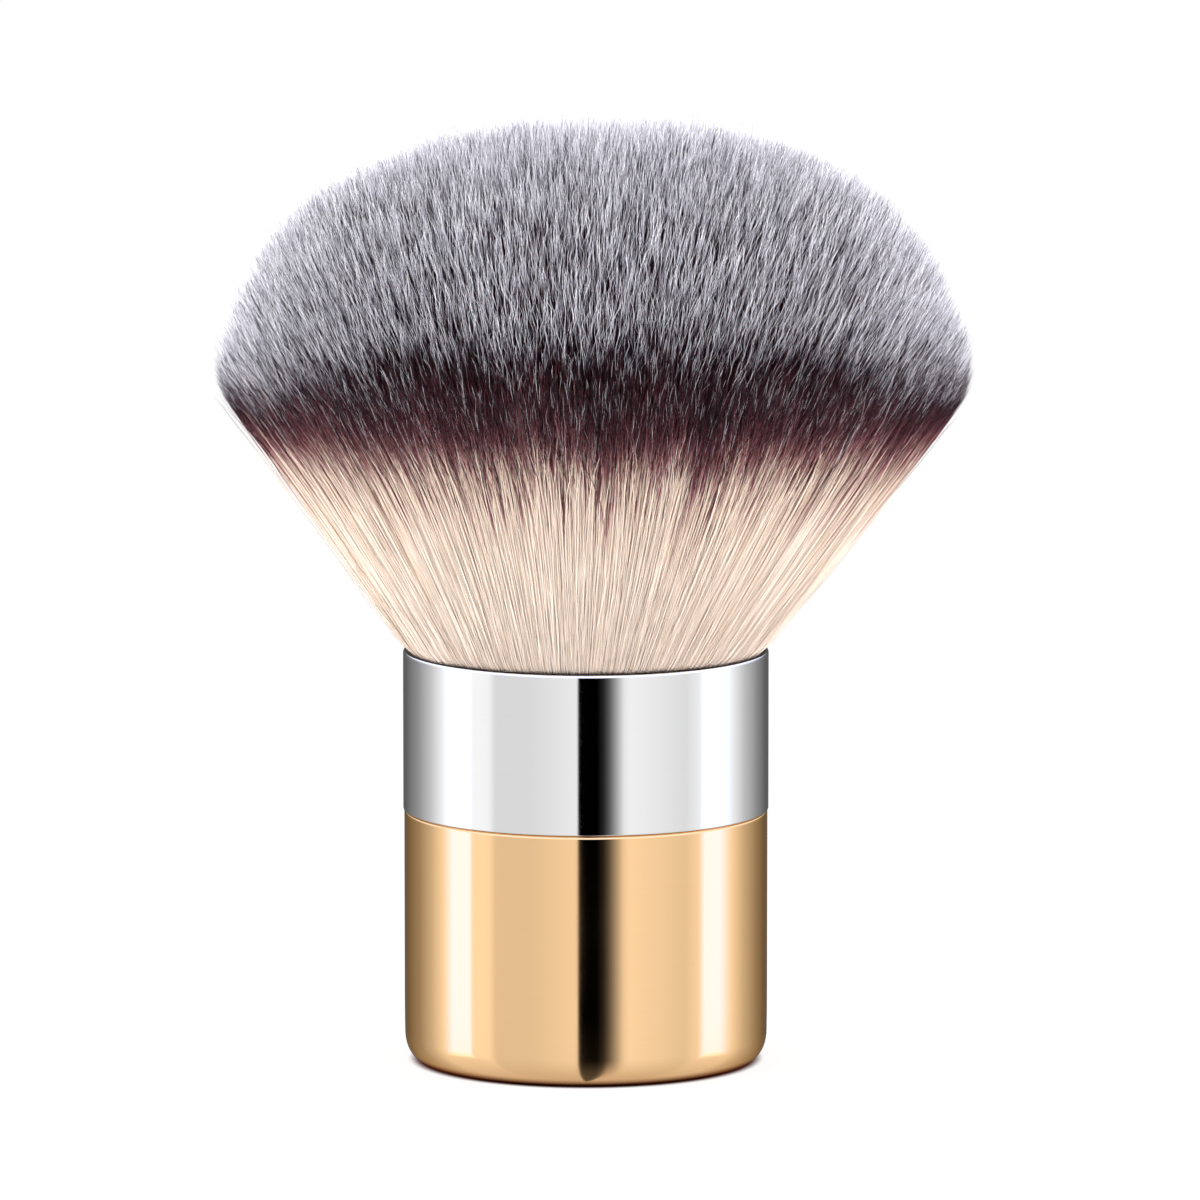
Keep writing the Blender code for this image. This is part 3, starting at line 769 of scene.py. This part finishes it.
def dipDye(spec, rng, spot, share, member, clumpTone, lost):
    count = share.size
    tone = spec["tone"] + spec["toneSpread"] * rng.normal(0, 1, count) + spec["clumpTone"] * clumpTone
    tone = np.clip(tone, 0.0, spec["mostTone"])
    shift = rng.normal(0, spec["spread"], count) + spec["clumpSpread"] * perClump(rng, member) + lost
    # facing is 1 on the front and back of the bundle and 0 at its sides; the shifts it scales are painted
    # shade
    facing = eased((spot[:, 1] / np.maximum(share, 1e-6)) ** 2)
    bearing = np.arctan2(spot[:, 1], spot[:, 0])
    wander, tufty = waves(bearing, spec["wander"]), waves(bearing, spec["tufty"])
    clumpWander = perClump(rng, member)
    ragged = spec["raggedWander"] * wander + spec["raggedTufty"] * tufty + spec["raggedClump"] * clumpWander
    right = np.cos(bearing)
    edge = spec["edgeShare"] - spec["edgeFacingShade"] * facing - spec["edgeRight"] * np.maximum(right, 0)
    lowEdge = rising(
        share + spec["edgeTufty"] * tufty + spec["edgeClump"] * clumpWander, edge, spec["edgeReach"])
    rimEdge = rising(share, spec["rimShare"], spec["rimReach"])
    early = rising(share, spec["earlyShare"], spec["earlyReach"]) * facing
    steep = eased(rising(share + ragged, spec["steepShare"], spec["steepReach"]))
    pale = rng.random(count) < spec["palePart"] - spec["lessAtRim"] * rimEdge
    middle = hump(share, spec["middleShare"], spec["middleWidth"])
    shift += spec["earlyShadeShift"] * early + spec["middleShift"] * middle
    edges = spec["edgeShift"] * lowEdge ** spec["edgePower"] + spec["rimShift"] * rimEdge
    shift += (edges + spec["steepShadeShift"] * facing * steep) * np.where(pale, spec["paleShift"], 1.0)
    single = pale & (lowEdge > spec["singleFrom"])
    shift -= np.where(single, spec["singleLess"], 0)
    column = np.floor(np.where(single, spec["singleTone"], tone) * tuft["columns"])
    further = spec["further"] + spec["furtherRight"] * right - spec["lessAtSides"] * np.abs(right) - wander
    run = np.where(
        rng.random(count) < spec["runPart"], rng.uniform(spec["runFrom"], spec["runTo"], count), 0)
    further = np.maximum(lowEdge * (further + run), spec["least"])
    return {"column": column, "shift": shift, "further": further, "pale": pale, "single": single}


bend = {
    # sizes are shares of the bundle's radius, but for those in mm
    "pull": 0.38, "stray": 0.016, "bow": 0.014, "wildPart": 0.012, "wilder": 2.4,
    "wildReach": 1.02, "less": 0.03,
    "curl": 0.38 * mm, "curlLength": 9.0 * mm, "backCurl": 0.3,
    "waviness": 0.055 * mm, "tipWaviness": 0.13 * mm, "singleWaviness": 0.5,
    "thick": 0.048 * mm, "thinnest": 0.8, "thickest": 1.15, "paleThick": 0.6,
}


def bendFilaments(spec, rng, spot, clumps, member, pale):
    count = len(spot)
    turns = rng.uniform(0, 2 * math.pi, count)
    thick = spec["thick"] * rng.uniform(spec["thinnest"], spec["thickest"], count)
    wild = np.where(rng.random(count) < spec["wildPart"], spec["wilder"], 1.0)[:, None]
    shorter = rng.random(count)
    stray = rng.normal(0, spec["stray"], spot.shape) * wild
    bow = rng.normal(0, spec["bow"], spot.shape) * wild
    curl = rng.normal(0, spec["curl"], spot.shape) + rng.normal(0, spec["curl"], clumps.shape)[member]
    return {
        "turns": turns, "thick": thick * np.where(pale, spec["paleThick"], 1.0), "wild": wild,
        "shorter": shorter, "stray": stray, "bow": bow, "curl": curl,
        "pull": (clumps[member] - spot) * spec["pull"]}


def endHeights(hair, cut):
    # the head is trimmed to shape, so each end stops at the dome above where it has strayed to
    share = hair["share"]
    curled = (1 - bend["backCurl"]) * hair["curl"] / spreadAt(tipHeights(share))[:, None]
    endSpot = hair["spot"] + hair["pull"] + hair["stray"] + curled
    endShare = np.minimum(np.linalg.norm(endSpot, axis=1), 1.0)
    tipZ = tipHeights(endShare) - np.clip(cut, trim["highest"], trim["lowest"]) * mm / slantOf(share)
    return tipZ + tuft["fuller"] * hump(endShare, tuft["fullerShare"], tuft["fullerWidth"])


# heights of its low rings, distances of the others from its tip in mm, and how wide it is at each
loose = {"low": (), "rings": (12.5, 7.5, 4.6, 2.6, 1.0), "widths": (1.15, 1.1, 0.93, 0.7, 0.38)}
rooted = {
    "low": (tuft["rootZ"], throatZ, coneZ), "rings": (27, 20, 13.5, 9, 6, 3.6, 1.6),
    "widths": (0.95, 1.0, 1.1, 1.2, 1.2, 1.15, 1.05, 0.93, 0.74, 0.44)}
layers = [
    {"name": "tuftCore", "node": "bristles_core", "from": 0.0, "pieces": 5, "strand": loose},
    {"name": "tuftMiddle", "node": "bristles_middle", "from": 0.44, "pieces": 4, "strand": loose},
    {"name": "tuftOuter", "node": "bristles_outer", "from": 0.73, "pieces": 4, "strand": loose},
    {"name": "tuftSkin", "node": "bristles_outer", "from": tuft["skinShare"], "pieces": 11,
     "strand": rooted},
]


def growStrands(name, strand, hair, rng):
    tipZ, slant = hair["tipZ"], slantOf(hair["share"])
    z = [np.full(tipZ.size, height) for height in strand["low"]]
    z += [tipZ - distance * mm / slant for distance in strand["rings"]]
    z = np.stack([*z, tipZ], axis=1)
    rise = np.clip((z - throatZ) / (tipZ - throatZ)[:, None], 0, 1)[..., None]
    drift = hair["pull"][:, None] * rise ** 2 + hair["stray"][:, None] * rise ** 2
    drift = drift + hair["bow"][:, None] * np.sin(math.pi * rise)
    # fine ends curl a little, each its own way, and crinkle where they are thinnest
    away = (tipZ[:, None] - z) * slant[:, None]
    ending = np.clip(1 - away / bend["curlLength"], 0, 1)[..., None]
    crinkle = bend["waviness"] + (bend["tipWaviness"] - bend["waviness"]) * ending
    crinkle = crinkle * np.where(hair["single"], bend["singleWaviness"], 1.0)[:, None, None]
    wave = rng.normal(0, 1, (*z.shape, 2)) * crinkle * (z > coneZ)[..., None]
    wave += hair["curl"][:, None] * (ending ** 2 - bend["backCurl"] * ending)
    across = hair["spot"][:, None] + drift + wave / spreadAt(z)[..., None]
    # the bundle keeps its outline, but for a few strays
    reach = np.linalg.norm(across, axis=2)
    most = np.where(hair["wild"] > 1, bend["wildReach"], 1.0 - bend["less"] * hair["shorter"][:, None])
    across *= np.minimum(1.0, most / np.maximum(reach, 1e-6))[..., None]
    flat = across * spreadAt(z)[..., None]
    flat[..., 0] += leanAt(z)
    centres = np.concatenate([flat, z[..., None]], axis=2)
    radii = hair["thick"][:, None] * np.array(strand["widths"])[None]
    dip = np.maximum(away / mm + hair["shift"][:, None], 0.0)
    # dye that ran on down a filament stretches its wine band, not its pale end
    further, start, length = hair["further"][:, None], dye["wineFrom"], dye["wineLength"]
    stretched = start + (dip - start) * length / (length + further)
    dip = np.where(dip < start, dip, np.where(dip < start + length + further, stretched, dip - further))
    mapV = np.clip(1 - dip * mm / tuft["mapLength"], 0.0, 1.0)
    return strandMesh(name, centres, radii, hair["turns"], hair["column"], mapV)


def growTuft(spec):
    rng = np.random.default_rng(spec["seed"])
    spot, share = placeFilaments(spec, rng)
    clumps, member = joinClumps(spec, rng, spot)
    clumpTone = perClump(rng, member)
    clumpLength = perClump(rng, member)
    cut, lost = trimEnds(trim, rng, share, clumpLength)
    hair = {"spot": spot, "share": share}
    hair.update(dipDye(dye, rng, spot, share, member, clumpTone, lost))
    hair.update(bendFilaments(bend, rng, spot, clumps, member, hair["pale"]))
    hair["tipZ"] = endHeights(hair, cut)
    material = taperedFilament(filament)
    starts = np.searchsorted(share, [layer["from"] for layer in layers])
    for layer, start, end in zip(layers, starts, [*starts[1:], share.size]):
        edges = np.linspace(start, end, layer["pieces"] + 1).astype(int)
        for i in range(layer["pieces"]):
            own = {key: values[edges[i]:edges[i + 1]] for key, values in hair.items()}
            obj = growStrands(f"{layer['name']}{i + 1}", layer["strand"], own, rng)
            obj.data.materials.append(material)
            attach(obj, body)
            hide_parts(layer["node"])
            print(obj.name, own["tipZ"].size, "filaments", len(obj.data.polygons), "faces")
    packedHeart(heart, material)


growTuft(tuft)
print("tuft grown")


# Parts inside the brush, which keep their CAD shapes

def openCellFoam():
    # polyurethane foam sheet: matt near-black, with cells of about half a millimetre
    made, tree, shader = newMaterial("openCellFoam")
    place = addNode(tree, "ShaderNodeTexCoord").outputs["Object"]
    cells = addNode(tree, "ShaderNodeTexVoronoi", {"Scale": 1 / (0.5 * mm)}, Vector=place)
    # darker down in the cells' pits, where the bump dips: painted shade
    tone = addRamp(tree, cells.outputs["Distance"], [(0.1, "#101011"), (0.7, "#2E2E30")])
    tree.links.new(tone, shader.inputs["Base Color"])
    shader.inputs["Roughness"].default_value = 0.95
    addBump(tree, shader, cells.outputs["Distance"], 0.8, 0.1 * mm)
    return made


def zincPlatedSteel():
    # turned slug, zinc plated: grey metal with a soft blue-white bloom and tool marks 0.15 mm apart
    made, tree, shader = newMaterial("zincPlatedSteel")
    shader.inputs["Metallic"].default_value = 1.0
    place = addNode(tree, "ShaderNodeTexCoord").outputs["Object"]
    bloom = addNode(tree, "ShaderNodeTexNoise", {"Scale": 1 / (2.5 * mm), "Detail": 5.0}, Vector=place)
    tone = addRamp(tree, bloom.outputs["Fac"], [(0.35, "#A9AFB4"), (0.65, "#CDD2D5")])
    tree.links.new(tone, shader.inputs["Base Color"])
    rough = addNode(tree, "ShaderNodeMapRange", {"To Min": 0.25, "To Max": 0.45}, Value=bloom.outputs["Fac"])
    tree.links.new(rough.outputs[0], shader.inputs["Roughness"])
    marks = addNode(
        tree, "ShaderNodeTexWave",
        {"wave_type": "RINGS", "rings_direction": "Z", "Scale": 1 / (3 * mm)}, Vector=place)
    addBump(tree, shader, marks.outputs["Fac"], 0.2, 0.01 * mm)
    return made


def mouldedPolypropylene():
    # injection moulded, unpainted: milky white, slightly translucent, with a fine spark-eroded grain
    made, tree, shader = newMaterial("mouldedPolypropylene")
    shader.inputs["IOR"].default_value = 1.49
    shader.inputs["Subsurface Weight"].default_value = 0.1
    shader.inputs["Subsurface Scale"].default_value = 0.5 * mm
    place = addNode(tree, "ShaderNodeTexCoord").outputs["Object"]
    flow = addNode(tree, "ShaderNodeTexNoise", {"Scale": 1 / (8 * mm), "Detail": 2.0}, Vector=place)
    tone = addRamp(tree, flow.outputs["Fac"], [(0.3, "#E6E6E2"), (0.7, "#F0F0EC")])
    tree.links.new(tone, shader.inputs["Base Color"])
    grain = addNode(tree, "ShaderNodeTexNoise", {"Scale": 1 / (0.2 * mm), "Detail": 3.0}, Vector=place)
    rough = addNode(tree, "ShaderNodeMapRange", {"To Min": 0.38, "To Max": 0.55}, Value=grain.outputs["Fac"])
    tree.links.new(rough.outputs[0], shader.inputs["Roughness"])
    addBump(tree, shader, grain.outputs["Fac"], 0.15, 0.02 * mm)
    return made


def twistedCottonThread():
    # three-ply binding thread: cream, matt, with plies that slant across it every 0.4 mm
    made, tree, shader = newMaterial("twistedCottonThread")
    shader.inputs["Roughness"].default_value = 0.85
    place = addNode(tree, "ShaderNodeTexCoord").outputs["Object"]
    parts = addNode(tree, "ShaderNodeSeparateXYZ", None, Vector=place).outputs
    bearing = addNode(tree, "ShaderNodeMath", {"operation": "ARCTAN2"}, i0=parts["Y"], i1=parts["X"])
    # 260 plies fit round the bundle, and each climbs one pitch in 0.4 mm
    turns = addNode(tree, "ShaderNodeMath", {"operation": "MULTIPLY", 1: 260.0}, i0=bearing.outputs[0])
    climb = addNode(
        tree, "ShaderNodeMath", {"operation": "MULTIPLY_ADD", 1: 2 * math.pi / (0.4 * mm)},
        i0=parts["Z"], i2=turns.outputs[0])
    plies = addNode(tree, "ShaderNodeMath", {"operation": "SINE"}, i0=climb.outputs[0])
    tone = addNode(tree, "ShaderNodeMapRange", {"From Min": -1.0, "From Max": 1.0}, Value=plies.outputs[0])
    # darker down between the plies, where the bump dips: painted shade
    colour = addRamp(tree, tone.outputs[0], [(0.0, "#B8A88C"), (0.6, "#E9DDC6")])
    tree.links.new(colour, shader.inputs["Base Color"])
    addBump(tree, shader, tone.outputs[0], 0.6, 0.05 * mm)
    return made


def dressInnerParts():
    plastic = mouldedPolypropylene()
    looks = {
        "floor_pad": openCellFoam(), "base_weight": zincPlatedSteel(), "handle_core": plastic,
        "tuft_cup": plastic, "tuft_binding": twistedCottonThread()}
    for name, material in looks.items():
        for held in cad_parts[name].material_slots:
            held.material = material


dressInnerParts()
print("inner parts dressed")
